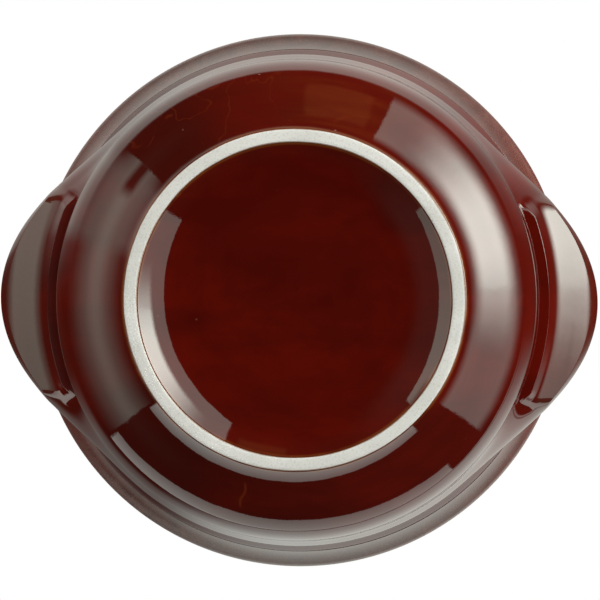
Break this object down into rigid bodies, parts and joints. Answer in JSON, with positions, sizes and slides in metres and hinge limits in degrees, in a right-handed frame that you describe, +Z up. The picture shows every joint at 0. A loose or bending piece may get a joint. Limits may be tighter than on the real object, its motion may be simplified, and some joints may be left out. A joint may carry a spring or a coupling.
{
  "type": "french onion soup crock",
  "caption": "Round glazed stoneware soup crock with a lug handle on opposite sides, a thick rim band, an open bowl and a bare foot ring.",
  "frame": {"origin": "centre of the foot ring's bare face, on the table", "axes": "+Z up along the bowl's axis to the open mouth; +X through the right handle, -X through the left one; +Y to the side wall between the handles"},
  "size_m": [0.1422, 0.1292, 0.0665],
  "materials": {
    "clay": "bare fired stoneware, matt, fine grain",
    "red_glaze": "deep red-brown gloss glaze",
    "rim_glaze": "the same gloss glaze, thinner on the rim and breaking to mottled brown"
  },
  "bodies": {
    "root": {"bowl_body": "clay", "foot_ring": "clay", "rim_band": "clay", "handle_left": "clay", "handle_right": "clay", "outer_glaze": "red_glaze", "rim_glaze": "rim_glaze", "inner_glaze": "red_glaze", "base_glaze": "red_glaze", "handle_glaze_left": "red_glaze", "handle_glaze_right": "red_glaze"}
  },
  "joints": []
}
